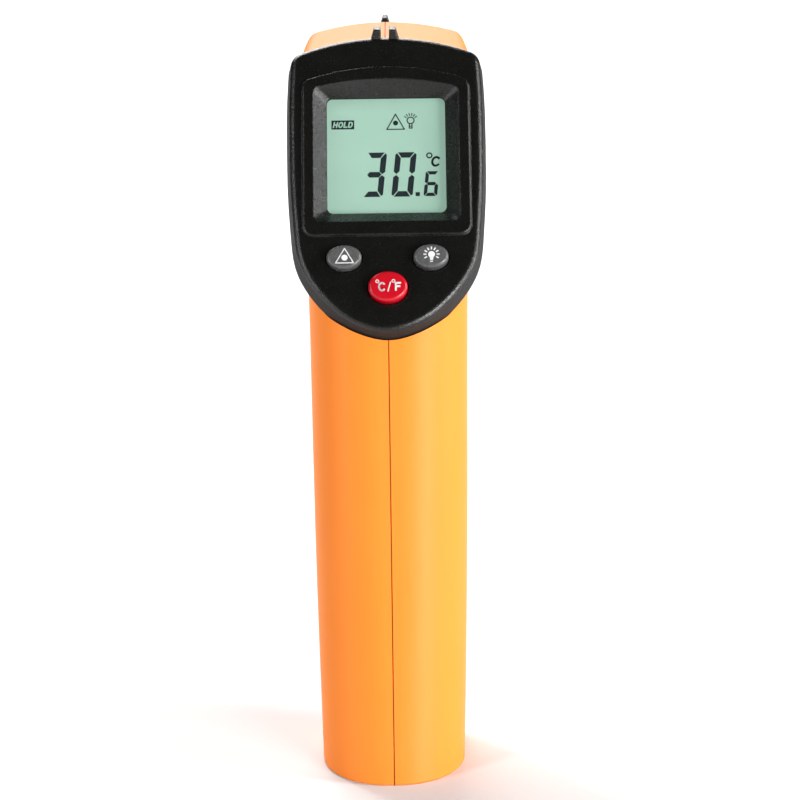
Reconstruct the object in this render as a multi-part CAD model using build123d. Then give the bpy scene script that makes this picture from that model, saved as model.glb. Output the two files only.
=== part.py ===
from build123d import *
import os
from math import cos, radians, sin, tan

# Pistol-grip infrared thermometer.  Millimetres, +Z up, +Y along the optical axis, +X to the
# user's right.  The flat base of the grip stands on z = 0.

# ---- driving dimensions --------------------------------------------------------------------
WALL = 2.0                       # shell thickness
LEAN = 15.0                      # grip leans forward, degrees from vertical
GRIP_BACK = -50.5                # rearmost point of the grip, at the base
GRIP_DEPTH = 30.0                # grip front to back, horizontally
GRIP_TOP = 118.0
GRIP_HALF_WIDTH = [(0, 15.5), (30, 16.3), (62, 16.85), (95, 17.25), (GRIP_TOP, 17.9)]
BACK_RADIUS = 14.4
FRONT_RADIUS = 6.5
# head sections: y, half width, lowest z, highest z, crown of the top, corner radius
HEAD_SECTIONS = [(-20, 18.8, 106.4, 149.4, 2.9, 3.3),
                 (8, 19.0, 107.2, 149.1, 2.9, 3.3),
                 (41, 17.9, 111.5, 147.1, 2.9, 3.3)]
NOSE_START = 41.0
NOSE_END = 50.5
NOSE_CENTRE_Z = 128.6
TILT = 36.0                      # display panel leans forward, degrees from vertical
PANEL_Y, PANEL_Z = -5.0, 128.4
BEZEL_DEPTH = 6.3
BEZEL_DRAFT = 0.75
PLATEAU = 0.7                    # raised frame round the display
OPENING_HALF_WIDTH = 12.85
OPENING_LOW, OPENING_HIGH = -12.2, 14.2    # display opening, up the panel
WINDOW_HALF = 14.4
LCD_LOW, LCD_HIGH = -15.2, 16.8
FACE_PLATE = 2.0
AXIS_Z = 125.5                   # optical axis
LASER_Z = 139.2
BUTTON_PROUD = 2.1
BUTTON_GAP = 0.3
SIGHT_TOP = 152.5
TRIGGER_PIVOT = (4.5, 104.0)     # y, z
HINGE_T, HINGE_S = 26.3, 13.0    # battery door pin in grip coordinates
CELL_RADIUS = 5.25
CELL_X = 5.6
CELL_T = 20.2
BOARD_TOP = -10.0                # display side of the main board, along the panel normal
BOARD_THICK = 1.6

PANEL = Plane(origin=(0, PANEL_Y, PANEL_Z), x_dir=(1, 0, 0),
              z_dir=(0, -cos(radians(TILT)), sin(radians(TILT))))
GRIP = Plane(origin=(0, GRIP_BACK, 0), x_dir=(1, 0, 0),
             z_dir=(0, sin(radians(LEAN)), cos(radians(LEAN))))

BUTTONS = {                      # centre x, centre w, half width, half height
    "laser": (-9.3, -23.3, 3.75, 2.68),
    "backlight": (9.3, -23.3, 3.75, 2.68),
    "unit": (0.0, -30.0, 4.2, 3.38),
}
BOARD_SCREWS = [(-13.0, -18.9), (13.0, -18.9), (-13.2, 19.9), (13.2, 19.9)]
SHELL_SCREWS = [(-33.0, 5.2), (-15.6, 66.0), (26.0, 113.5), (11.5, 114.0)]

parts = {}


# ---- small helpers -------------------------------------------------------------------------
def block(plane, x, y, z):
    """Box between the given pairs of coordinates in a plane's own frame."""
    centre = Pos((x[0] + x[1]) / 2, (y[0] + y[1]) / 2, (z[0] + z[1]) / 2)
    return plane * centre * Box(x[1] - x[0], y[1] - y[0], z[1] - z[0])


def rod(plane, radius, start, end, x=0.0, y=0.0):
    """Cylinder along a plane's normal."""
    bottom = (Align.CENTER, Align.CENTER, Align.MIN)
    return plane * Pos(x, y, start) * Cylinder(radius, end - start, align=bottom)


def along_y(z):
    """Plane whose normal is the optical direction, origin at the given height."""
    return Plane(origin=(0, 0, z), x_dir=(-1, 0, 0), z_dir=(0, 1, 0))


def along_x(y, z):
    """Plane whose normal is +X, for cross pins and screws."""
    return Plane(origin=(0, y, z), x_dir=(0, 1, 0), z_dir=(1, 0, 0))


def between(table, z):
    for (z0, a), (z1, b) in zip(table, table[1:]):
        if z <= z1:
            return a + (b - a) * (z - z0) / (z1 - z0)
    return table[-1][1]


def panel_point(x, w, d):
    return PANEL.from_local_coords(Vector(x, w, d))


def grip_point(x, t, s):
    return GRIP.from_local_coords(Vector(x, t, s))


def wire(points, radius=0.55):
    path = Spline(points)
    start = Plane(origin=path @ 0, z_dir=path % 0)
    return sweep(start * Circle(radius), path=path)


def coil(plane, x, y, start, end, radius, wire_radius, turns):
    """Compression spring along a plane's normal, from start to end."""
    height = end - start - 2 * wire_radius
    path = Helix(pitch=height / turns, height=height, radius=radius)
    path = plane * Pos(x, y, start + wire_radius) * path
    section = Plane(origin=path @ 0, z_dir=path % 0) * Circle(wire_radius)
    return sweep(section, path=path)


# ---- outer form ----------------------------------------------------------------------------
def grip_section(z, inset):
    half = between(GRIP_HALF_WIDTH, z) - inset
    back = GRIP_BACK + z * tan(radians(LEAN)) + inset
    front = back + GRIP_DEPTH - 2 * inset
    face = make_face([
        Line((-half, back), (half, back)),
        Line((half, back), (half, front)),
        ThreePointArc((half, front), (0, front + 0.8), (-half, front)),
        Line((-half, front), (-half, back)),
    ])
    rear = [v for v in face.vertices() if v.Y < back + 1]
    face = fillet(rear, BACK_RADIUS - inset)
    fore = [v for v in face.vertices()
            if abs(abs(v.X) - half) < 0.01 and abs(v.Y - front) < 0.01]
    face = fillet(fore, FRONT_RADIUS - inset)
    return Plane.XY.offset(z) * face


def grip_form(inset):
    return loft([grip_section(z, inset) for z in (inset, 30, 62, 95, GRIP_TOP)])


def arch(y, half, low, high, crown, corner, inset=0.0, draft=0.6):
    half -= inset
    low += inset
    high -= inset
    foot = half - draft
    face = make_face([
        ThreePointArc((-half, high - crown), (0, high), (half, high - crown)),
        Line((half, high - crown), (foot, low + 0.8)),
        ThreePointArc((foot, low + 0.8), (0, low), (-foot, low + 0.8)),
        Line((-foot, low + 0.8), (-half, high - crown)),
    ])
    face = fillet(face.vertices(), max(corner - inset, 0.8))
    return Plane(origin=(0, y, 0), x_dir=(-1, 0, 0), z_dir=(0, 1, 0)) * face


def head_form(inset):
    return loft([arch(*section, inset) for section in HEAD_SECTIONS])


def panel_outline(inset=0.0):
    """Outline of the display bezel where it meets the shells, drawn in by an inset."""
    side = [(21.1, 24.1), (21.72, 11.0), (21.7, 2.0), (21.55, -6.2), (20.9, -16.5),
            (19.95, -23.2), (15.2, -31.7), (6.8, -38.5), (0, -40.2)]
    crown_radius = (21.1 ** 2 + 4.5 ** 2) / (2 * 4.5) - inset
    crown_top = 28.6 - inset
    corner_x = side[0][0] - inset
    drop = crown_radius - (crown_radius ** 2 - corner_x ** 2) ** 0.5
    drawn = [(corner_x, crown_top - drop)]
    for before, point, after in zip(side, side[1:], side[2:]):
        along_x_step = after[0] - before[0]
        along_w_step = after[1] - before[1]
        length = (along_x_step ** 2 + along_w_step ** 2) ** 0.5
        drawn.append((point[0] + inset * along_w_step / length,
                      point[1] - inset * along_x_step / length))
    drawn.append((0, side[-1][1] + inset))
    mirrored = [(-x, w) for x, w in reversed(drawn[:-1])]
    crown = ThreePointArc(mirrored[-1], (0, crown_top), drawn[0])
    face = make_face([Spline(drawn + mirrored), crown])
    return fillet([v for v in face.vertices() if v.Y > 20 - inset], 4 - inset)


grip_solid = grip_form(0)
inner = head_form(WALL) + grip_form(WALL)
behind_panel = extrude(PANEL.offset(-BEZEL_DEPTH) * panel_outline(-0.15), amount=60)
base_rim = [e for e in grip_solid.edges() if e.bounding_box().max.Z < 0.01]
hull = head_form(0) + fillet(base_rim, 0.45) - behind_panel

# ---- housing shells ------------------------------------------------------------------------
shell = hull - inner
trigger_slot = block(Plane.XY, (-6.9, 6.9), (-4.5, 16), (74.2, 106.4))
door_opening = block(GRIP, (-12.6, 12.6), (21.5, 33), (9.4, 73.6))
hinge_y, hinge_z = grip_point(0, HINGE_T, HINGE_S).Y, grip_point(0, HINGE_T, HINGE_S).Z
pivot_y, pivot_z = TRIGGER_PIVOT
pivot_axis = along_x(pivot_y, pivot_z)
hinge_axis = along_x(hinge_y, hinge_z)

left_boss = None
right_boss = None
for y, z in SHELL_SCREWS:
    left = rod(along_x(y, z), 3.5, -20, 0)
    right = rod(along_x(y, z), 2.8, 0, 20)
    left_boss = left if left_boss is None else left_boss + left
    right_boss = right if right_boss is None else right_boss + right
left_boss += rod(pivot_axis, 3.0, -20, -7.2)
right_boss += rod(pivot_axis, 3.0, 7.2, 20)
left_boss += rod(hinge_axis, 2.4, -20, -12.7)
right_boss += rod(hinge_axis, 2.4, 12.7, 20)
left_boss &= hull
right_boss &= hull

left_half = block(Plane.XY, (-40, -0.05), (-60, 60), (-5, 170))
right_half = block(Plane.XY, (0.05, 40), (-60, 60), (-5, 170))
mid_form = head_form(1.0) + grip_form(1.0)
lip = (shell & mid_form) & block(Plane.XY, (-1.2, 0.05), (-60, 60), (-5, 170))
groove = mid_form & block(Plane.XY, (-1.4, 0.2), (-60, 60), (-5, 170))

left_shell = ((shell & left_half) - groove) + (left_boss & left_half)
right_shell = (shell & right_half) + lip + (right_boss & right_half)
trigger_rib = block(Plane.XY, (-5.5, 20), (-8.4, -7.0), (79.5, 97.6)) & inner
right_shell += trigger_rib

openings = trigger_slot + door_opening + block(Plane.XY, (-6.9, 6.9), (-1.0, 9.1), (100, 108.8))
for x, w in BOARD_SCREWS:
    openings += rod(PANEL, 2.1, BOARD_TOP - 0.4, -BEZEL_DEPTH, x, w)
left_shell -= openings
right_shell -= openings
for y, z in SHELL_SCREWS:
    left_shell -= rod(along_x(y, z), 2.7, -30, -7)
    left_shell -= rod(along_x(y, z), 1.45, -8, 1)
    right_shell -= rod(along_x(y, z), 1.27, -3, 6.6)
    right_shell -= rod(along_x(y, z), 4.1, -3, 0.05)
for axis, radius, half_length in ((pivot_axis, 1.22, 13.6), (hinge_axis, 1.02, 14.0)):
    left_shell -= rod(axis, radius, -half_length, 0)
    right_shell -= rod(axis, radius, 0, half_length)
parts["left_shell"] = left_shell
parts["right_shell"] = right_shell

screws = None
for y, z in SHELL_SCREWS:
    axis = along_x(y, z)
    screw = rod(axis, 2.45, -8.8, -7.0) + rod(axis, 1.25, -7.0, 5.6)
    screw -= block(axis, (-1.6, 1.6), (-0.3, 0.3), (-9.0, -8.1))
    screw -= block(axis, (-0.3, 0.3), (-1.6, 1.6), (-9.0, -8.1))
    screws = screw if screws is None else screws + screw
parts["shell_screws"] = screws

# ---- display bezel -------------------------------------------------------------------------
bezel = loft([PANEL.offset(-BEZEL_DEPTH) * panel_outline(), PANEL * panel_outline(BEZEL_DRAFT)])
front_edges = [e for e in bezel.edges() if abs(PANEL.to_local_coords(e.center()).Z) < 0.05]
bezel = fillet(front_edges, 1.6)


def window_face(bottom, top_corner, top_middle, half, corner):
    face = make_face([
        Line((-half, bottom), (half, bottom)),
        Line((half, bottom), (half, top_corner)),
        ThreePointArc((half, top_corner), (0, top_middle), (-half, top_corner)),
        Line((-half, top_corner), (-half, bottom)),
    ])
    return fillet(face.vertices(), corner)


plateau = extrude(PANEL.offset(-0.5) * window_face(-18.1, 17.5, 20.7, 18.15, 2.4),
                  amount=0.5 + PLATEAU)
plateau_rim = [e for e in plateau.edges()
               if abs(PANEL.to_local_coords(e.center()).Z - PLATEAU) < 0.05]
bezel += fillet(plateau_rim, 0.45)
cavity = extrude(PANEL.offset(-BEZEL_DEPTH - 1) * panel_outline(1.9),
                 amount=BEZEL_DEPTH + 1 - FACE_PLATE)
bezel -= cavity
bezel += block(PANEL, (-17.4, 17.4), (-17.4, 18.2), (-3.6, -1.0))
funnel_throat = window_face(OPENING_LOW, OPENING_HIGH, OPENING_HIGH + 0.02, OPENING_HALF_WIDTH, 1.3)
funnel_mouth = window_face(-15.1, 15.8, 17.85, 15.8, 1.6)
bezel -= loft([PANEL.offset(-2.2) * funnel_throat, PANEL.offset(PLATEAU + 0.02) * funnel_mouth])
bezel -= extrude(PANEL.offset(-3.0) * funnel_throat, amount=0.85)
window_w = (OPENING_LOW + OPENING_HIGH) / 2
pocket_half = WINDOW_HALF + 0.2
bezel -= block(PANEL, (-pocket_half, pocket_half),
               (window_w - pocket_half, window_w + pocket_half), (-4.0, -2.5))
for x, w, a, b in BUTTONS.values():
    slot = PANEL.offset(-4) * Pos(x, w) * Ellipse(a + BUTTON_GAP, b + BUTTON_GAP)
    bezel -= extrude(slot, amount=6)
for x, w in BOARD_SCREWS:
    bezel += rod(PANEL, 1.9, BOARD_TOP, -1.2, x, w)
    bezel -= rod(PANEL, 0.92, BOARD_TOP - 1, -4.6, x, w)
bezel += block(PANEL, (-4, 4), (-37.4, -36.2), (-8.5, -1.5))
bezel += block(PANEL, (-6, 6), (24.6, 25.8), (-8.5, -1.5))
for side in (-1, 1):
    post = make_face(Polyline((side * 0.8, 148.0), (side * 3.65, 148.0), (side * 2.35, SIGHT_TOP),
                              (side * 0.9, SIGHT_TOP), (side * 0.8, 148.0)))
    sight_plane = Plane(origin=(0, 13.9, 0), x_dir=(1, 0, 0), z_dir=(0, -1, 0))
    bezel += extrude(sight_plane * post, amount=2.7)
parts["display_bezel"] = bezel

parts["display_window"] = block(PANEL, (-WINDOW_HALF, WINDOW_HALF),
                                (window_w - WINDOW_HALF, window_w + WINDOW_HALF), (-3.6, -2.5))

# ---- buttons, their switches and the main board ----------------------------------------------
button_travel_floor = BOARD_TOP + 0.6
for name, (x, w, a, b) in BUTTONS.items():
    cap = extrude(PANEL.offset(-2.4) * Pos(x, w) * Ellipse(a, b), amount=2.4 + BUTTON_PROUD)
    rim = [e for e in cap.edges()
           if abs(PANEL.to_local_coords(e.center()).Z - BUTTON_PROUD) < 0.05]
    cap = fillet(rim, 0.8)
    flange = PANEL.offset(-3.4) * Pos(x, w) * Ellipse(a + 0.6, b + 0.6)
    cap += extrude(flange, amount=1.0)
    cap += rod(PANEL, 1.5, -4.95, -3.3, x, w)
    parts[name + "_button"] = cap
    body = block(PANEL, (x - 2.25, x + 2.25), (w - 2.25, w + 2.25), (BOARD_TOP, -6.5))
    body -= rod(PANEL, 1.08, button_travel_floor, -6, x, w)
    parts[name + "_switch"] = body
    parts[name + "_plunger"] = rod(PANEL, 1.0, -8.6, -5.0, x, w)

board_face = make_face(Polyline((-15.2, 22.0), (15.2, 22.0), (15.2, -22.5), (10.0, -35.6),
                                (-10.0, -35.6), (-15.2, -22.5), (-15.2, 22.0)))
board = extrude(PANEL.offset(BOARD_TOP - BOARD_THICK) * fillet(board_face.vertices(), 1.0),
                amount=BOARD_THICK)
for x, w in BOARD_SCREWS:
    board -= rod(PANEL, 1.1, BOARD_TOP - 3, BOARD_TOP + 1, x, w)
parts["main_board"] = board
BOARD_BACK = BOARD_TOP - BOARD_THICK

board_screws = None
for x, w in BOARD_SCREWS:
    screw = rod(PANEL, 1.9, BOARD_BACK - 1.2, BOARD_BACK, x, w)
    screw += rod(PANEL, 0.9, BOARD_BACK, -4.9, x, w)
    screw -= block(PANEL, (x - 1.2, x + 1.2), (w - 0.25, w + 0.25),
                   (BOARD_BACK - 1.4, BOARD_BACK - 0.6))
    screw -= block(PANEL, (x - 0.25, x + 0.25), (w - 1.2, w + 1.2),
                   (BOARD_BACK - 1.4, BOARD_BACK - 0.6))
    board_screws = screw if board_screws is None else board_screws + screw
parts["board_screws"] = board_screws

parts["main_chip"] = block(PANEL, (-4.6, 4.6), (-5.0, 4.2), (BOARD_BACK - 1.5, BOARD_BACK))
parts["crystal"] = extrude(PANEL.offset(BOARD_BACK - 2.4) * Pos(8.6, 1.0)
                           * SlotCenterToCenter(4.4, 3.2, rotation=90), amount=2.4)
parts["board_capacitors"] = (rod(PANEL, 2.0, BOARD_BACK - 5.0, BOARD_BACK, -8.6, -13.0)
                             + rod(PANEL, 2.0, BOARD_BACK - 5.0, BOARD_BACK, -8.6, -18.4))
parts["lead_socket"] = block(PANEL, (-4.4, 4.4), (-27.4, -24.2),
                             (BOARD_BACK - 2.6, BOARD_BACK))
parts["sensor_socket"] = block(PANEL, (-5.2, 5.2), (9.4, 12.6), (BOARD_BACK - 2.2, BOARD_BACK))

# ---- display stack -------------------------------------------------------------------------
parts["lcd_glass"] = block(PANEL, (-14.2, 14.2), (LCD_LOW, LCD_HIGH), (-6.2, -4.0))
frame = block(PANEL, (-15.2, 15.2), (LCD_LOW - 1.0, LCD_HIGH + 1.0), (-9.8, -3.7))
frame -= block(PANEL, (-14.3, 14.3), (LCD_LOW - 0.1, LCD_HIGH + 0.1), (-6.3, -3.0))
frame -= block(PANEL, (-13.6, 13.6), (LCD_LOW + 0.6, LCD_HIGH - 0.6), (-10.5, -6.0))
parts["lcd_frame"] = frame
parts["backlight_diffuser"] = block(PANEL, (-13.4, 13.4), (LCD_LOW + 3.0, LCD_HIGH - 3.0),
                                    (-8.6, -6.3))
parts["contact_strips"] = (
    block(PANEL, (-13.3, 13.3), (LCD_LOW + 0.8, LCD_LOW + 2.6), (-10.0, -6.2))
    + block(PANEL, (-13.3, 13.3), (LCD_HIGH - 2.6, LCD_HIGH - 0.8), (-10.0, -6.2)))

# ---- nose and optics -------------------------------------------------------------------------
nose_root = (NOSE_START + 0.1, 17.7, 111.7, 146.8, 2.9, 3.2)
nose_tip = (NOSE_END, 17.2, 112.6, 143.3, 2.9, 3.2)


def nose_dome(inset):
    """Turned form that rounds the nose down to its circular front."""
    profile = make_face([
        Line((0, NOSE_START - 1), (0, NOSE_END - inset)),
        Line((0, NOSE_END - inset), (15.0 - inset, NOSE_END - inset)),
        ThreePointArc((15.0 - inset, NOSE_END - inset), (18.6 - inset, NOSE_END - 1.8 - inset),
                      (25.2 - inset, NOSE_START - 1)),
        Line((25.2 - inset, NOSE_START - 1), (0, NOSE_START - 1)),
    ])
    dome = revolve(profile, axis=Axis.Y)
    return Pos(0, 0, NOSE_CENTRE_Z) * dome


nose = loft([arch(*nose_root), arch(*nose_tip)]) & nose_dome(0)
nose_hollow = loft([arch(*nose_root, 2.2), arch(*nose_tip, 2.2)]) & nose_dome(2.4)
nose_spigot = extrude(arch(*HEAD_SECTIONS[2], 2.3), amount=-3.0)
nose_spigot += extrude(arch(*HEAD_SECTIONS[2], 2.3), amount=0.4)
nose = nose + nose_spigot
nose -= nose_hollow
nose -= Pos(0, 0.6, 0) * extrude(arch(*HEAD_SECTIONS[2], 3.6), amount=-4.6)
optic = along_y(AXIS_Z)
nose += rod(optic, 10.5, 43.6, 48.2)
nose -= rod(optic, 7.5, 43, 51)
nose -= rod(optic, 8.5, 43, 46.3)
nose -= rod(optic, 10.5, 48.9, 51)
nose -= optic * Pos(0, 0, 48.0) * Cone(7.5, 9.6, 0.92, align=(Align.CENTER, Align.CENTER, Align.MIN))
laser_axis = along_y(LASER_Z)
nose += rod(laser_axis, 3.4, 46.0, 48.4)
nose -= rod(laser_axis, 2.2, 45, 51)
nose -= rod(laser_axis, 2.6, 49.2, 51)
front_sight = make_face(Polyline((-1.6, 144.0), (1.6, 144.0), (0.5, 147.5), (-0.5, 147.5),
                                 (-1.6, 144.0)))
front_plane = Plane(origin=(0, 46.8, 0), x_dir=(1, 0, 0), z_dir=(0, -1, 0))
nose += extrude(front_plane * front_sight, amount=3.6)
parts["nose_cone"] = nose

parts["fresnel_lens"] = rod(optic, 8.45, 45.7, 46.3)
parts["lens_ring"] = rod(optic, 8.45, 44.2, 45.7) - rod(optic, 7.2, 44, 46)
parts["laser_window"] = rod(laser_axis, 2.55, 49.2, 49.9)

holder = rod(optic, 8.0, 20.6, 43.0) + rod(optic, 9.4, 19.0, 20.8)
holder += block(Plane.XY, (-3.6, 3.6), (29.5, 41.5), (131.5, LASER_Z + 2.0))
holder -= rod(optic, 6.4, 18, 44)
holder -= rod(laser_axis, 3.04, 28, 44)
parts["optics_holder"] = holder
parts["laser_module"] = rod(laser_axis, 3.0, 28.6, 42.6) - rod(laser_axis, 1.2, 41.0, 43)
parts["thermopile"] = rod(optic, 4.55, 19.0, 19.7) + rod(optic, 4.1, 19.7, 23.0)
parts["sensor_board"] = (block(Plane.XY, (-11.5, 11.5), (17.4, 19.0), (114.6, 134.6))
                         - rod(optic, 0.5, 17, 20, 2.0, 0) - rod(optic, 0.5, 17, 20, -2.0, 0))

# ---- trigger -----------------------------------------------------------------------------------
blade = make_face([
    Spline((8.2, 105.6), (10.1, 100.0), (10.3, 94.0), (9.7, 87.5), (9.5, 81.5), (10.9, 76.6)),
    Spline((10.9, 76.6), (10.0, 75.5), (7.6, 75.6)),
    Line((7.6, 75.6), (0.0, 78.2)),
    Line((0.0, 78.2), (0.0, 105.6)),
    Line((0.0, 105.6), (8.2, 105.6)),
])
side_plane = Plane(origin=(-6.5, 0, 0), x_dir=(0, 1, 0), z_dir=(1, 0, 0))
trigger = extrude(side_plane * blade, amount=13.0)
front_edges = [e for e in trigger.edges()
               if abs(abs(e.center().X) - 6.5) < 0.01 and e.center().Y > 8.6]
trigger = fillet(front_edges, 1.4)
trigger += rod(pivot_axis, 4.1, -6.5, 6.5)
trigger -= rod(pivot_axis, 1.27, -10, 10)
trigger -= block(Plane.XY, (-4.6, 4.6), (1.6, 6.6), (80.5, 99.0))
trigger -= block(Plane.XY, (-4.6, 4.6), (5.5, 7.8), (82.5, 98.0))
parts["trigger"] = trigger
parts["trigger_pin"] = rod(pivot_axis, 1.2, -13.4, 13.4)

spring_axis = along_y(83.6)
parts["trigger_spring"] = coil(spring_axis, 0, 0, -6.98, -0.05, 2.5, 0.3, 5)
switch_axis = along_y(94.0)
switch = block(Plane.XY, (-3.2, 3.2), (-7.0, -2.6), (90.8, 97.2))
parts["trigger_switch"] = switch - rod(switch_axis, 1.28, -6.4, -2)
parts["trigger_plunger"] = rod(switch_axis, 1.2, -4.6, -0.08)

# ---- battery bay -------------------------------------------------------------------------------
CELL_LOW, CELL_HIGH = 14.6, 65.2
tray = block(GRIP, (-12.3, 12.3), (12.8, 14.2), (CELL_LOW - 1.4, CELL_HIGH + 1.4))
tray += block(GRIP, (-12.3, 12.3), (12.8, 23.4), (CELL_LOW - 1.4, CELL_LOW))
tray += block(GRIP, (-12.3, 12.3), (12.8, 26.0), (CELL_HIGH, CELL_HIGH + 1.4))
for side in (-1, 1):
    tray += block(GRIP, sorted((side * 11.3, side * 12.3)), (12.8, 22.0),
                  (CELL_LOW - 1.4, CELL_HIGH + 1.4))
tray += block(GRIP, (-0.2, 0.2), (12.8, 15.2), (CELL_LOW - 1.4, CELL_HIGH + 1.4))
parts["battery_tray"] = tray & grip_form(WALL + 0.15)


def cell(x, low, pointing_up):
    body = rod(GRIP, CELL_RADIUS, low, low + 43.5, x, CELL_T)
    rims = [e for e in body.edges() if e.geom_type == GeomType.CIRCLE]
    body = fillet(rims, 0.5)
    nub_low, nub_high = (low + 43.4, low + 44.5) if pointing_up else (low - 1.0, low + 0.1)
    return body + rod(GRIP, 1.9, nub_low, nub_high, x, CELL_T)


parts["battery_right"] = cell(CELL_X, 20.2, True)
parts["battery_left"] = cell(-CELL_X, 16.1, False)
plate = 0.4
parts["battery_bridge"] = (
    block(GRIP, (-9.6, 9.6), (15.4, 23.2), (CELL_LOW, CELL_LOW + plate))
    + coil(GRIP, CELL_X, CELL_T, CELL_LOW + plate, 20.18, 3.1, 0.35, 4))
parts["positive_contact"] = block(GRIP, (CELL_X - 4, CELL_X + 4), (15.4, 25.0),
                                  (CELL_HIGH - plate, CELL_HIGH))
parts["negative_contact"] = (
    block(GRIP, (-CELL_X - 4, -CELL_X + 4), (15.4, 25.0), (CELL_HIGH - plate, CELL_HIGH))
    + coil(GRIP, -CELL_X, CELL_T, 59.62, CELL_HIGH - plate, 3.1, 0.35, 4))

door = grip_solid & block(GRIP, (-12.3, 12.3), (20, 33), (HINGE_S - 0.4, 73.2))
door -= grip_form(WALL)
door += rod(hinge_axis, 2.3, -12.3, 12.3)
door -= block(GRIP, (-9.6, 9.6), (20, 25.9), (HINGE_S + 1.2, 20))
door -= rod(hinge_axis, 1.08, -20, 20)
for step in range(7):
    s = 56.0 + 2.2 * step
    door -= block(GRIP, (-8.0, 8.0), (29.35, 33), (s, s + 1.0))
door -= block(GRIP, (-3.2, 3.2), (28.4, 33), (71.6, 75))
parts["battery_door"] = door
parts["door_pin"] = rod(hinge_axis, 1.0, -13.8, 13.8)

# ---- wiring --------------------------------------------------------------------------------------
socket_foot = (-27.6, BOARD_BACK - 1.3)
parts["battery_lead_red"] = wire([
    grip_point(CELL_X, 14.9, CELL_HIGH + 2.0), grip_point(CELL_X, 11.0, 70),
    grip_point(5.0, 8.5, 78), grip_point(3.0, 8.6, 88), panel_point(1.9, *socket_foot)])
parts["battery_lead_black"] = wire([
    grip_point(-CELL_X, 14.9, CELL_HIGH + 2.0), grip_point(-CELL_X, 11.0, 70),
    grip_point(-5.0, 8.5, 78), grip_point(-3.0, 8.6, 88), panel_point(-1.9, *socket_foot)])

trigger_leads = []
laser_leads = []
for side in (-1, 1):
    trigger_leads.append(wire([
        (side * 2.0, -5.0, 97.4), (side * 2.6, -4.6, 98.4),
        panel_point(side * 3.4, -25.0, BOARD_BACK - 4.4),
        panel_point(side * 3.4, -25.0, BOARD_BACK - 2.9)], 0.45))
    laser_leads.append(wire([
        (side * 0.9, 28.5, LASER_Z), (side * 1.2, 25.5, 139.4), (side * 3.0, 19.5, 138.2),
        (side * 3.3, 15.8, 135.6), panel_point(side * 3.4, 11.4, BOARD_BACK - 4.6),
        panel_point(side * 3.4, 11.0, BOARD_BACK - 2.4)], 0.4))
parts["trigger_leads"] = trigger_leads[0] + trigger_leads[1]
parts["laser_leads"] = laser_leads[0] + laser_leads[1]

sensor_leads = []
for x in (-1.5, 0.0, 1.5):
    sensor_leads.append(wire([(x, 17.35, 128.4), (x, 15.4, 128.1),
                              panel_point(x, 11.0, BOARD_BACK - 2.3)], 0.35))
parts["sensor_leads"] = sensor_leads[0] + sensor_leads[1] + sensor_leads[2]

# ---- export --------------------------------------------------------------------------------------
os.makedirs("parts", exist_ok=True)
for name, solid in parts.items():
    export_step(solid, "parts/" + name + ".step")
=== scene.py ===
import math

import bmesh
import bpy
from mathutils import Matrix, Vector


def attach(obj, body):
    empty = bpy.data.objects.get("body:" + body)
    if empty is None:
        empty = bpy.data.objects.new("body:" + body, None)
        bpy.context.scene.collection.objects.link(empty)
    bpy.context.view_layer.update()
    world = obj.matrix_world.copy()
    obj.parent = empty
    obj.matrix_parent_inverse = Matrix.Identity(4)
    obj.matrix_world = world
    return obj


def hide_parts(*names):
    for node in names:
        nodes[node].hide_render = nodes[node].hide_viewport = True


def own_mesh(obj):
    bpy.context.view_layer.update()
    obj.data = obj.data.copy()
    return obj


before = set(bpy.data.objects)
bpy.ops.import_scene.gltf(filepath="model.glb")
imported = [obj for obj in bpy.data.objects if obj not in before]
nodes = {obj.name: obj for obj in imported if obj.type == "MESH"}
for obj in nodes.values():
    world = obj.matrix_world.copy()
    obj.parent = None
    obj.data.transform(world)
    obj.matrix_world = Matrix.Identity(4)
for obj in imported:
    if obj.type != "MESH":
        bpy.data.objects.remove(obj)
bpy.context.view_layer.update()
MM = 0.001

# ---- panel frame: x to the right, w up the panel, d out towards the user -----------------------
TILT = math.radians(36)
PANEL_ORIGIN = Vector((0, -5.0, 128.4)) * MM
PANEL_UP = Vector((0, math.sin(TILT), math.cos(TILT)))
PANEL_OUT = Vector((0, -math.cos(TILT), math.sin(TILT)))
LEAN = math.radians(15)
GRIP_UP = Vector((0, math.sin(LEAN), math.cos(LEAN)))
BUTTON_TOP = 2.1


def panel_matrix(x=0.0, w=0.0, d=0.0):
    """Places a flat drawing in millimetres on the panel."""
    turn = Matrix((Vector((1, 0, 0)), PANEL_UP, PANEL_OUT)).transposed().to_4x4()
    place = Matrix.Translation(PANEL_ORIGIN) @ turn
    return place @ Matrix.Scale(MM, 4) @ Matrix.Translation((x, w, d))


# ---- materials ---------------------------------------------------------------------------------
def shader_of(made):
    return made.node_tree.nodes["Principled BSDF"]


def material(name, color, roughness=0.5, metallic=0.0, **sockets):
    """Plain material; further sockets are named with underscores for their spaces."""
    made = bpy.data.materials.new(name)
    made.use_nodes = True
    shader = shader_of(made)
    shader.inputs["Base Color"].default_value = (*color, 1)
    shader.inputs["Roughness"].default_value = roughness
    shader.inputs["Metallic"].default_value = metallic
    for socket, value in sockets.items():
        shader.inputs[socket.replace("_", " ")].default_value = value
    return made


def add_node(made, kind, **values):
    """New node, with each value set on the socket or the property of that name."""
    node = made.node_tree.nodes.new(kind)
    for key, value in values.items():
        if key in node.inputs:
            node.inputs[key].default_value = value
        else:
            setattr(node, key, value)
    return node


def link(made, source, target):
    made.node_tree.links.new(source, target)


def coordinates(made):
    return add_node(made, "ShaderNodeTexCoord").outputs["Object"]


def noise(made, scale, detail):
    """Noise over the object, as a socket that runs from 0 to 1."""
    texture = add_node(made, "ShaderNodeTexNoise", Scale=scale, Detail=detail)
    link(made, coordinates(made), texture.inputs["Vector"])
    return texture.outputs["Fac"]


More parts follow.
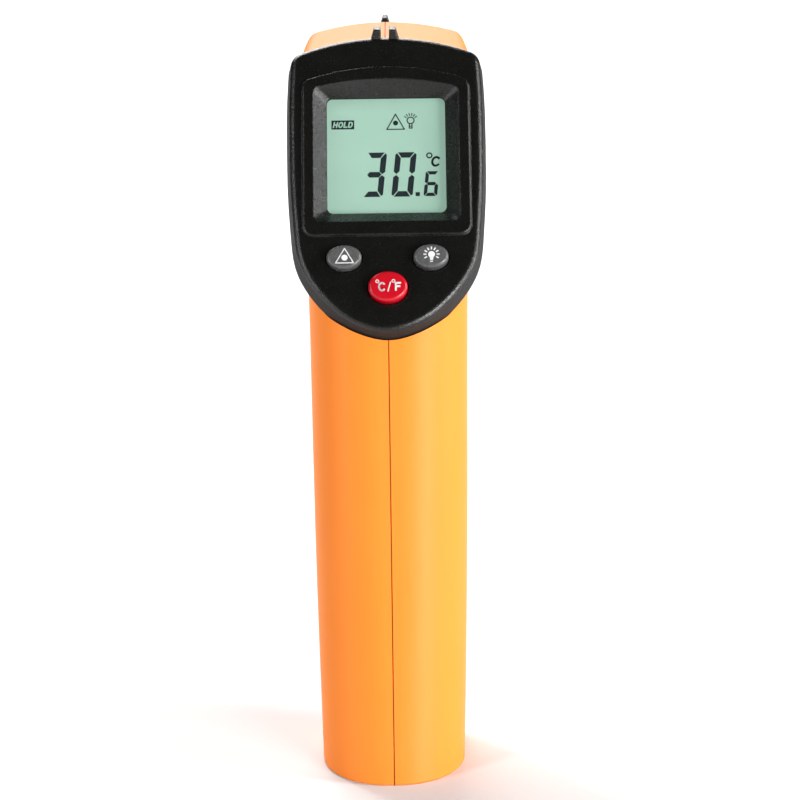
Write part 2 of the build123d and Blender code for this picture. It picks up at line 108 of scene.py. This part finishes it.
def map_range(made, source, start, end, low, high):
    """Socket that turns the range from start to end into the range from low to high."""
    spread = add_node(made, "ShaderNodeMapRange")
    spread.inputs["From Min"].default_value = start
    spread.inputs["From Max"].default_value = end
    spread.inputs["To Min"].default_value = low
    spread.inputs["To Max"].default_value = high
    link(made, source, spread.inputs["Value"])
    return spread.outputs["Result"]


def grain(made, scale, depth, edge=0.0):
    """Fine moulded texture as bump, on edges that look rounded to the given radius."""
    bump = add_node(made, "ShaderNodeBump", Strength=1.0, Distance=depth)
    if edge:
        soft = add_node(made, "ShaderNodeBevel", samples=6, Radius=edge)
        link(made, soft.outputs["Normal"], bump.inputs["Normal"])
    link(made, noise(made, scale, 3.0), bump.inputs["Height"])
    link(made, bump.outputs["Normal"], shader_of(made).inputs["Normal"])
    return bump


def vary_color(made, scale, dark, light):
    """Slow colour variation between two tones."""
    ramp = add_node(made, "ShaderNodeValToRGB")
    ramp.color_ramp.elements[0].position = 0.35
    ramp.color_ramp.elements[1].position = 0.65
    ramp.color_ramp.elements[0].color = (*dark, 1)
    ramp.color_ramp.elements[1].color = (*light, 1)
    link(made, noise(made, scale, 4.0), ramp.inputs["Fac"])
    link(made, ramp.outputs["Color"], shader_of(made).inputs["Base Color"])


def vary_roughness(made, scale, low, high):
    """Patchy gloss between two roughness values."""
    spread = map_range(made, noise(made, scale, 5.0), 0.0, 1.0, low, high)
    link(made, spread, shader_of(made).inputs["Roughness"])


MIX_A, MIX_B, MIX_RESULT = 6, 7, 2       # a Mix node's colour sockets, whose names are shared
# half width, in metres, of the strip of painted shade along the parting line
SEAM_SHADE_HALF_WIDTH = 0.00013


def orange_plastic():
    """Satin orange, with painted shade along the parting line at x = 0."""
    made = material("orange_satin", (0.95, 0.25, 0.03), 0.45, Specular_IOR_Level=0.16)
    tones = add_node(made, "ShaderNodeMix", data_type="RGBA")
    tones.inputs[MIX_A].default_value = (0.94, 0.243, 0.026, 1)
    tones.inputs[MIX_B].default_value = (0.96, 0.260, 0.033, 1)
    split = add_node(made, "ShaderNodeSeparateXYZ")
    away = add_node(made, "ShaderNodeMath", operation="ABSOLUTE")
    line = add_node(made, "ShaderNodeMath", operation="LESS_THAN")
    line.inputs[1].default_value = SEAM_SHADE_HALF_WIDTH
    # painted shade: the base colour is darkened in a narrow strip along x = 0, standing in for the
    # lip's shadow on the parting line
    painted_seam_shade = add_node(made, "ShaderNodeMix", data_type="RGBA")
    painted_seam_shade.inputs[MIX_B].default_value = (0.42, 0.05, 0.003, 1)
    link(made, noise(made, 60.0, 4.0), tones.inputs[0])
    link(made, coordinates(made), split.inputs[0])
    link(made, split.outputs["X"], away.inputs[0])
    link(made, away.outputs[0], line.inputs[0])
    link(made, line.outputs[0], painted_seam_shade.inputs[0])
    link(made, tones.outputs[MIX_RESULT], painted_seam_shade.inputs[MIX_A])
    link(made, painted_seam_shade.outputs[MIX_RESULT], shader_of(made).inputs["Base Color"])
    vary_roughness(made, 900, 0.40, 0.50)
    grain(made, 5200, 0.000004)
    return made


def coarser_walls(made, bump, wall_roughness):
    """Rougher, deeper texture where the surface turns away from the face of the panel."""
    roughness = shader_of(made).inputs["Roughness"]
    face_roughness = roughness.links[0].from_socket
    rounded_normal = bump.inputs["Normal"].links[0].from_socket
    facing = add_node(made, "ShaderNodeVectorMath", operation="DOT_PRODUCT")
    facing.inputs[1].default_value = PANEL_OUT
    toward_panel = facing.outputs["Value"]
    blend = add_node(made, "ShaderNodeMix")
    blend.inputs["A"].default_value = wall_roughness
    link(made, rounded_normal, facing.inputs[0])
    link(made, map_range(made, toward_panel, 0.2, 0.5, 0.0, 1.0), blend.inputs["Factor"])
    link(made, map_range(made, toward_panel, 0.75, 0.985, 1.0, 0.55), bump.inputs["Strength"])
    link(made, face_roughness, blend.inputs["B"])
    link(made, blend.outputs["Result"], roughness)


def black_plastic(name, depth, roughness=(0.23, 0.30), wall_roughness=None):
    """Near-black plastic with spark-eroded grain."""
    made = material(name, (0.003, 0.003, 0.0025), 0.27, Specular_IOR_Level=0.5)
    vary_color(made, 300, (0.0025, 0.0026, 0.0018), (0.0036, 0.0037, 0.0027))
    vary_roughness(made, 1500, *roughness)
    bump = grain(made, 3400, depth, edge=0.0005)
    if wall_roughness is not None:
        coarser_walls(made, bump, wall_roughness)
    return made


def circuit_board():
    """Green board with lighter lines of track between dark areas."""
    made = material("circuit_board", (0.01, 0.12, 0.045), 0.35)
    bricks = add_node(made, "ShaderNodeTexBrick", Scale=520.0)
    bricks.inputs["Color1"].default_value = (0.008, 0.10, 0.038, 1)
    bricks.inputs["Color2"].default_value = (0.010, 0.13, 0.05, 1)
    bricks.inputs["Mortar"].default_value = (0.03, 0.22, 0.09, 1)
    bricks.inputs["Mortar Size"].default_value = 0.03
    link(made, coordinates(made), bricks.inputs["Vector"])
    link(made, bricks.outputs["Color"], shader_of(made).inputs["Base Color"])
    grain(made, 2500, 0.00001)
    return made


CELL_BAND = (0.045, 0.058)               # where the copper band lies, measured along the grip
RAMP_STRETCH = 10.0                      # brings lengths in metres into a ramp's 0 to 1


def cell_sleeve():
    """Printed sleeve: a copper-coloured band at one end, dark over the rest."""
    made = material("cell_sleeve", (0.03, 0.04, 0.07), 0.25, 0.3)
    where = add_node(made, "ShaderNodeVectorMath", operation="DOT_PRODUCT")
    where.inputs[1].default_value = GRIP_UP
    ramp = add_node(made, "ShaderNodeValToRGB")
    ramp.color_ramp.interpolation = "CONSTANT"
    dark, copper = (0.02, 0.03, 0.05, 1), (0.62, 0.30, 0.10, 1)
    ramp.color_ramp.elements[0].color = dark
    ramp.color_ramp.elements[1].position = CELL_BAND[0] * RAMP_STRETCH
    ramp.color_ramp.elements[1].color = copper
    ramp.color_ramp.elements.new(CELL_BAND[1] * RAMP_STRETCH).color = dark
    grow = add_node(made, "ShaderNodeMath", operation="MULTIPLY")
    grow.inputs[1].default_value = RAMP_STRETCH
    link(made, coordinates(made), where.inputs[0])
    link(made, where.outputs["Value"], grow.inputs[0])
    link(made, grow.outputs["Value"], ramp.inputs["Fac"])
    link(made, ramp.outputs["Color"], shader_of(made).inputs["Base Color"])
    grain(made, 1800, 0.000004)
    return made


LENS_HEIGHT = 0.1255
GROOVE_PITCH = 0.0006


def ringed_lens():
    """Milky moulded lens with fine concentric grooves round the optical axis."""
    made = material("fresnel_plastic", (0.42, 0.44, 0.46), 0.3, Specular_IOR_Level=0.5)
    split = add_node(made, "ShaderNodeSeparateXYZ")
    drop = add_node(made, "ShaderNodeMath", operation="SUBTRACT")
    drop.inputs[1].default_value = LENS_HEIGHT
    flat = add_node(made, "ShaderNodeCombineXYZ")
    radius = add_node(made, "ShaderNodeVectorMath", operation="LENGTH")
    rings = add_node(made, "ShaderNodeMath", operation="MULTIPLY")
    rings.inputs[1].default_value = 2 * math.pi / GROOVE_PITCH
    wave = add_node(made, "ShaderNodeMath", operation="SINE")
    bump = add_node(made, "ShaderNodeBump", Strength=1.0, Distance=0.00006)
    link(made, coordinates(made), split.inputs[0])
    link(made, split.outputs["Z"], drop.inputs[0])
    link(made, split.outputs["X"], flat.inputs["X"])
    link(made, drop.outputs[0], flat.inputs["Y"])
    link(made, flat.outputs[0], radius.inputs[0])
    link(made, radius.outputs["Value"], rings.inputs[0])
    link(made, rings.outputs[0], wave.inputs[0])
    link(made, wave.outputs[0], bump.inputs["Height"])
    link(made, bump.outputs["Normal"], shader_of(made).inputs["Normal"])
    return made


def display_field():
    """Lit green-grey liquid crystal with slow, slight variation."""
    made = material("display_field", (0.42, 0.66, 0.53), 0.55)
    shader = shader_of(made)
    shader.inputs["Emission Strength"].default_value = 0.52
    shader.inputs["Emission Color"].default_value = (0.45, 0.72, 0.58, 1)
    vary_color(made, 90, (0.20, 0.32, 0.257), (0.22, 0.35, 0.28))
    grain(made, 3000, 0.000002)
    return made


def worked_metal(name, color, roughness):
    """Bare metal with patchy gloss and fine tool marks."""
    made = material(name, color, roughness, 1.0)
    vary_roughness(made, 700, roughness - 0.06, roughness + 0.06)
    grain(made, 2600, 0.000004)
    return made


def moulded(name, color, roughness, depth=0.000005):
    """Small moulded part: near even colour, slight grain."""
    made = material(name, color, roughness)
    vary_roughness(made, 800, roughness - 0.04, roughness + 0.04)
    grain(made, 3200, depth)
    return made


orange = orange_plastic()
black = black_plastic("black_grained", 0.00006, (0.42, 0.50))
bezel_black = black_plastic("black_bezel", 0.00010, wall_roughness=0.8)
inner_black = black_plastic("black_inner", 0.00001, (0.5, 0.6))
grey_key = moulded("grey_key", (0.08, 0.083, 0.08), 0.27)
red_key = moulded("red_key", (0.48, 0.003, 0.012), 0.24)
white_plastic = moulded("white_plastic", (0.75, 0.76, 0.74), 0.45)
rubber = moulded("contact_rubber", (0.03, 0.03, 0.035), 0.7, 0.00001)
steel = worked_metal("steel", (0.55, 0.55, 0.57), 0.32)
nickel = worked_metal("nickel", (0.68, 0.65, 0.60), 0.28)
can_metal = worked_metal("can_metal", (0.75, 0.76, 0.78), 0.2)
brass = worked_metal("brass", (0.72, 0.50, 0.20), 0.28)
capacitor = moulded("capacitor_sleeve", (0.02, 0.03, 0.16), 0.35)
clear = material("clear_window", (0.02, 0.02, 0.02), 0.03, Alpha=0.07)
grain(clear, 400, 0.000001)
ruby = material("laser_window", (0.25, 0.01, 0.01), 0.05, Alpha=0.6)
grain(ruby, 400, 0.000001)
display = display_field()
segment_ink = moulded("segment_ink", (0.003, 0.012, 0.017), 0.6, 0.000001)
icon_ink = moulded("icon_ink", (0.72, 0.72, 0.72), 0.5, 0.000001)

LOOKS = {
    orange: ["left_shell", "right_shell"],
    bezel_black: ["display_bezel"],
    black: ["nose_cone", "trigger", "battery_door"],
    inner_black: ["battery_tray", "lens_ring", "optics_holder", "main_chip", "laser_switch",
                  "backlight_switch", "unit_switch", "trigger_switch"],
    grey_key: ["laser_button", "backlight_button"],
    red_key: ["unit_button"],
    white_plastic: ["laser_plunger", "backlight_plunger", "unit_plunger", "trigger_plunger",
                    "lead_socket", "sensor_socket", "lcd_frame", "backlight_diffuser"],
    rubber: ["contact_strips"],
    steel: ["shell_screws", "board_screws", "trigger_pin", "door_pin", "trigger_spring"],
    nickel: ["battery_bridge", "positive_contact", "negative_contact"],
    can_metal: ["thermopile", "crystal"],
    brass: ["laser_module"],
    capacitor: ["board_capacitors"],
    circuit_board(): ["main_board", "sensor_board"],
    cell_sleeve(): ["battery_left", "battery_right"],
    ringed_lens(): ["fresnel_lens"],
    clear: ["display_window"],
    ruby: ["laser_window"],
    display: ["lcd_glass"],
    moulded("wire_red", (0.60, 0.01, 0.01), 0.4): ["battery_lead_red"],
    moulded("wire_black", (0.015, 0.015, 0.015), 0.4): ["battery_lead_black"],
    moulded("wire_grey", (0.20, 0.20, 0.22), 0.45): ["trigger_leads"],
    moulded("wire_orange", (0.75, 0.16, 0.02), 0.4): ["laser_leads"],
    moulded("wire_white", (0.7, 0.7, 0.68), 0.45): ["sensor_leads"],
}
for look, names in LOOKS.items():
    for name in names:
        nodes[name].data.materials.clear()
        nodes[name].data.materials.append(look)


# ---- flat drawings on the panel ----------------------------------------------------------------
PRINT_THICKNESS = 0.03


def drawing(name, outlines, d, look, body):
    """Thin raised print: each outline is a list of (x, w) points in millimetres."""
    mesh = bpy.data.meshes.new(name)
    build = bmesh.new()
    for outline in outlines:
        low = [build.verts.new((x, w, d)) for x, w in outline]
        high = [build.verts.new((x, w, d + PRINT_THICKNESS)) for x, w in outline]
        build.faces.new(high)
        count = len(outline)
        for i in range(count):
            j = (i + 1) % count
            build.faces.new((low[i], low[j], high[j], high[i]))
    bmesh.ops.recalc_face_normals(build, faces=build.faces)
    build.to_mesh(mesh)
    build.free()
    mesh.transform(panel_matrix())
    piece = bpy.data.objects.new(name, mesh)
    bpy.context.scene.collection.objects.link(piece)
    mesh.materials.append(look)
    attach(piece, body)


def circle(x, w, radius, count=24):
    return [(x + radius * math.cos(2 * math.pi * i / count),
             w + radius * math.sin(2 * math.pi * i / count)) for i in range(count)]


def ring(x, w, inner, outer, count):
    """A ring as a row of four-sided outlines."""
    found = []
    for i in range(count):
        a = 2 * math.pi * i / count
        b = 2 * math.pi * (i + 1) / count
        found.append([(x + inner * math.cos(a), w + inner * math.sin(a)),
                      (x + outer * math.cos(a), w + outer * math.sin(a)),
                      (x + outer * math.cos(b), w + outer * math.sin(b)),
                      (x + inner * math.cos(b), w + inner * math.sin(b))])
    return found


def triangle_icon(x, w, width, height, line, dot, dot_rise):
    """Open triangle with a round dot inside."""
    corners = [(x - width / 2, w - height / 2), (x + width / 2, w - height / 2),
               (x, w + height / 2)]
    outlines = stroke(corners + corners[:1], line)
    outlines.append(circle(x, w + dot_rise, dot, 24))
    return outlines


def rays(x, w, near, far, line, start, end, count):
    """Short strokes that fan out from a point, between two angles in degrees."""
    outlines = []
    for i in range(count):
        angle = math.radians(start + (end - start) * i / (count - 1))
        along = (math.cos(angle), math.sin(angle))
        outlines += stroke([(x + along[0] * near, w + along[1] * near),
                            (x + along[0] * far, w + along[1] * far)], line)
    return outlines


def bulb_icon(x, w, radius, line, ray_length):
    """Outlined bulb with a small base and six short rays over it."""
    outlines = ring(x, w, radius - line, radius, 28)
    outlines += stroke([(x - 0.3, w - radius), (x - 0.3, w - radius - 0.9),
                        (x + 0.3, w - radius - 0.9), (x + 0.3, w - radius)], line)
    outlines += stroke([(x - 0.3, w - radius - 0.45), (x + 0.3, w - radius - 0.45)], line)
    outlines += rays(x, w, radius + 0.3, radius + 0.3 + ray_length, 0.2, 35, 145, 6)
    return outlines


def lamp_icon(x, w):
    """Solid bulb with nine rays."""
    outlines = [circle(x, w, 0.72, 28)]
    outlines.append([(x - 0.42, w - 0.55), (x - 0.3, w - 1.25), (x + 0.3, w - 1.25),
                     (x + 0.42, w - 0.55)])
    outlines += stroke([(x - 0.22, w - 1.55), (x + 0.22, w - 1.55)], 0.2)
    outlines += rays(x, w, 1.22, 1.6, 0.27, -28, 208, 9)
    return outlines


SLANT = 0.105                            # how far a figure leans for each unit of height
SEGMENTS = {"0": "abcdef", "3": "abcdg", "6": "acdefg"}


def seven_segment(symbol, left, low, width, height, line):
    """Outlines of a slanted seven-segment figure whose lower left corner is at left, low."""
    mid = height / 2
    gap = line * 0.1
    corner = line * 0.42
    tip = line * 0.5

    def place(points):
        return [(left + x + SLANT * w, low + w) for x, w in points]

    def flip_x(points):
        return [(width - x, w) for x, w in points]

    def flip_w(points):
        return [(x, height - w) for x, w in points]

    top = [(corner, height), (width - corner, height), (width - line - gap, height - line),
           (line + gap, height - line)]
    upright = [(0, height - corner), (corner * 0.7, height - corner * 0.4),
               (line, height - line - gap), (line, mid + tip + gap), (line / 2, mid + gap),
               (0, mid + tip)]
    middle = [(line / 2 + gap, mid), (line, mid + line / 2), (width - line, mid + line / 2),
              (width - line / 2 - gap, mid), (width - line, mid - line / 2),
              (line, mid - line / 2)]
    bars = {"a": top, "d": flip_w(top), "g": middle, "f": upright, "e": flip_w(upright),
            "b": flip_x(upright), "c": flip_x(flip_w(upright))}
    return [place(bars[name]) for name in SEGMENTS[symbol]]


def stroke(points, line):
    """A row of four-sided outlines along a line of points, each lengthened to fill the joints."""
    found = []
    for (x0, w0), (x1, w1) in zip(points, points[1:]):
        length = math.hypot(x1 - x0, w1 - w0)
        along = ((x1 - x0) / length * line / 2, (w1 - w0) / length * line / 2)
        across = (-along[1], along[0])
        found.append([(x0 - along[0] * 0.98 - across[0], w0 - along[1] * 0.98 - across[1]),
                      (x1 + along[0] * 0.98 - across[0], w1 + along[1] * 0.98 - across[1]),
                      (x1 + along[0] * 0.98 + across[0], w1 + along[1] * 0.98 + across[1]),
                      (x0 - along[0] * 0.98 + across[0], w0 - along[1] * 0.98 + across[1])])
    return found


def arc_points(x, w, half_x, half_w, start, end, count=14):
    angles = [math.radians(start + (end - start) * i / count) for i in range(count + 1)]
    return [(x + half_x * math.cos(a), w + half_w * math.sin(a)) for a in angles]


GLYPHS = {                       # strokes in a box one unit high
    "H": (0.62, [[(0, 0), (0, 1)], [(0.62, 0), (0.62, 1)], [(0, 0.5), (0.62, 0.5)]]),
    "O": (0.70, [arc_points(0.35, 0.5, 0.35, 0.5, 0, 360, 24)]),
    "L": (0.50, [[(0, 1), (0, 0), (0.50, 0)]]),
    "D": (0.64, [[(0.28, 1), (0, 1), (0, 0), (0.28, 0)],
                 arc_points(0.28, 0.5, 0.36, 0.5, -90, 90)]),
    "C": (0.70, [arc_points(0.40, 0.5, 0.40, 0.5, 48, 312, 20)]),
    "F": (0.52, [[(0.52, 1), (0, 1), (0, 0)], [(0, 0.52), (0.44, 0.52)]]),
    "/": (0.30, [[(0, -0.04), (0.30, 1.04)]]),
}


def glyph(letter, left, low, height, line, lean=0.0, stretch=1.0):
    """Outlines of one letter, leaning and stretched sideways by the given amounts."""
    outlines = []
    for points in GLYPHS[letter][1]:
        body = [(left + line / 2 + x * height * stretch, low + line / 2 + w * (height - line))
                for x, w in points]
        outlines += stroke(body, line)
    return [[(x + lean * (w - low), w) for x, w in outline] for outline in outlines]


def word(text, left, low, height, line, lean, stretch, gap):
    outlines = []
    for letter in text:
        outlines += glyph(letter, left, low, height, line, lean, stretch)
        left += GLYPHS[letter][0] * height * stretch + line + gap
    return outlines


def degree(x, w, radius, line):
    return ring(x, w, radius - line, radius, 20)


# ---- display -----------------------------------------------------------------------------------
INK_D = -3.985                           # just above the liquid crystal, behind the window
figures = seven_segment("3", -5.5, -7.85, 4.6, 10.2, 1.25)
figures += seven_segment("0", 0.95, -7.85, 4.6, 10.2, 1.25)
figures += seven_segment("6", 7.92, -7.8, 2.95, 5.7, 0.75)
figures.append([(6.22, -7.78), (7.15, -7.78), (7.15, -6.88), (6.22, -6.88)])
figures += degree(9.33, 1.55, 0.7, 0.3)
figures += glyph("C", 9.58, -1.05, 2.4, 0.46, lean=0.12, stretch=0.84)
figures += triangle_icon(2.08, 9.45, 3.8, 3.5, 0.24, 0.56, -0.3)
figures += bulb_icon(5.36, 9.72, 0.88, 0.24, 0.46)
drawing("display_figures", figures, INK_D, segment_ink, "housing")
drawing("hold_box", [[(-11.9, 7.82), (-6.93, 7.82), (-6.93, 9.9), (-11.9, 9.9)]], INK_D,
        segment_ink, "housing")
drawing("hold_text", word("HOLD", -11.65, 8.18, 1.36, 0.3, lean=0.22, stretch=0.8, gap=0.13),
        INK_D + 0.02, display, "housing")

# ---- key markings ------------------------------------------------------------------------------
KEY_D = BUTTON_TOP + 0.01
drawing("laser_icon", triangle_icon(-9.18, -23.2, 3.85, 3.25, 0.21, 0.66, -0.45), KEY_D, icon_ink,
        "laser_key")
drawing("backlight_icon", lamp_icon(9.4, -23.15), KEY_D, icon_ink, "backlight_key")
marks = degree(-2.25, -29.05, 0.4, 0.17) + degree(1.2, -29.0, 0.4, 0.17)
marks += glyph("C", -2.08, -31.3, 2.05, 0.38, stretch=0.78)
marks += glyph("/", -0.12, -31.3, 2.05, 0.24, stretch=0.9)
marks += glyph("F", 1.5, -31.2, 1.95, 0.38, stretch=0.92)
drawing("unit_icon", marks, KEY_D, icon_ink, "unit_key")


# ---- trigger return spring -----------------------------------------------------------------------
def coil_spring(name, start, end, radius, wire, turns, centre_z):
    """Compression spring along Y, made as a tube round a helix."""
    steps = 24 * turns
    curve = bpy.data.curves.new(name + "_curve", "CURVE")
    curve.dimensions = "3D"
    curve.bevel_depth = wire
    curve.bevel_resolution = 3
    line = curve.splines.new("POLY")
    line.points.add(steps)
    for i in range(steps + 1):
        angle = 2 * math.pi * turns * i / steps
        y = start + wire + (end - start - 2 * wire) * i / steps
        line.points[i].co = (radius * math.cos(angle), y, centre_z + radius * math.sin(angle), 1)
    source = bpy.data.objects.new(name + "_source", curve)
    bpy.context.scene.collection.objects.link(source)
    bpy.context.view_layer.update()
    graph = bpy.context.evaluated_depsgraph_get()
    mesh = bpy.data.meshes.new_from_object(source.evaluated_get(graph))
    bpy.data.objects.remove(source)
    mesh.materials.clear()
    mesh.materials.append(steel)
    piece = bpy.data.objects.new(name, mesh)
    bpy.context.scene.collection.objects.link(piece)
    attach(piece, "housing")
    return piece


spring = coil_spring("trigger_return_spring", start=-6.98 * MM, end=-0.05 * MM, radius=2.5 * MM,
                     wire=0.3 * MM, turns=5, centre_z=83.6 * MM)
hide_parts("trigger_spring")
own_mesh(spring)

# ---- floor, light and camera ---------------------------------------------------------------------
bpy.ops.mesh.primitive_plane_add(size=6, location=(0, 0, 0))
floor = bpy.context.active_object
floor.name = "floor"
floor_look = material("floor", (0.78, 0.78, 0.78), 0.9, Specular_IOR_Level=0.1)
floor.data.materials.append(floor_look)

world = bpy.data.worlds.new("studio")
bpy.context.scene.world = world
world.use_nodes = True
world.node_tree.nodes["Background"].inputs["Color"].default_value = (1, 1, 1, 1)
world.node_tree.nodes["Background"].inputs["Strength"].default_value = 0.08


MIDDLE = Vector((0, -0.01, 0.08))        # every light is turned towards this point
LIGHTS = [                               # name, place, width, height, power in watts
    ("back_top", (-0.3, 0.9, 1.0), 0.9, 0.5, 18),
    ("back_low", (0.0, 1.3, 0.5), 1.0, 0.35, 6.0),
    ("back_left_glint", (-0.45, 0.65, 0.75), 0.08, 0.08, 2.0),
    ("right_key", (0.88, -0.12, 0.42), 0.12, 0.8, 7.8),
    ("left_strip", (-0.74, -0.42, 0.40), 0.07, 0.8, 3.7),
    ("front_right", (0.85, -1.0, 0.22), 0.6, 0.4, 19),
]
for name, place, width, height, power in LIGHTS:
    light = bpy.data.lights.new(name, "AREA")
    light.shape = "RECTANGLE"
    light.size = width
    light.size_y = height
    light.energy = power
    lamp = bpy.data.objects.new(name, light)
    lamp.location = place
    lamp.rotation_euler = (MIDDLE - Vector(place)).to_track_quat("-Z", "Y").to_euler()
    bpy.context.scene.collection.objects.link(lamp)

VIEW_RISE = math.radians(20)
forward = Vector((0, math.cos(VIEW_RISE), -math.sin(VIEW_RISE)))
aim = Vector((2.26, -23.0, 78.9)) * MM
DISTANCE = 0.7
SENSOR = 36                              # millimetres
FRAME_WIDTH = 0.1728                     # metres across the picture at the aimed point
camera_data = bpy.data.cameras.new("camera")
camera_data.sensor_width = SENSOR
camera_data.lens = SENSOR * DISTANCE / FRAME_WIDTH
camera = bpy.data.objects.new("camera", camera_data)
camera.location = aim - forward * DISTANCE
look_at = forward.to_track_quat("-Z", "Y").to_matrix().to_4x4()
roll = Matrix.Rotation(math.radians(-0.75), 4, "Z")
camera.rotation_euler = (look_at @ roll).to_euler()
bpy.context.scene.collection.objects.link(camera)
bpy.context.scene.camera = camera
bpy.context.scene.view_settings.view_transform = "Standard"
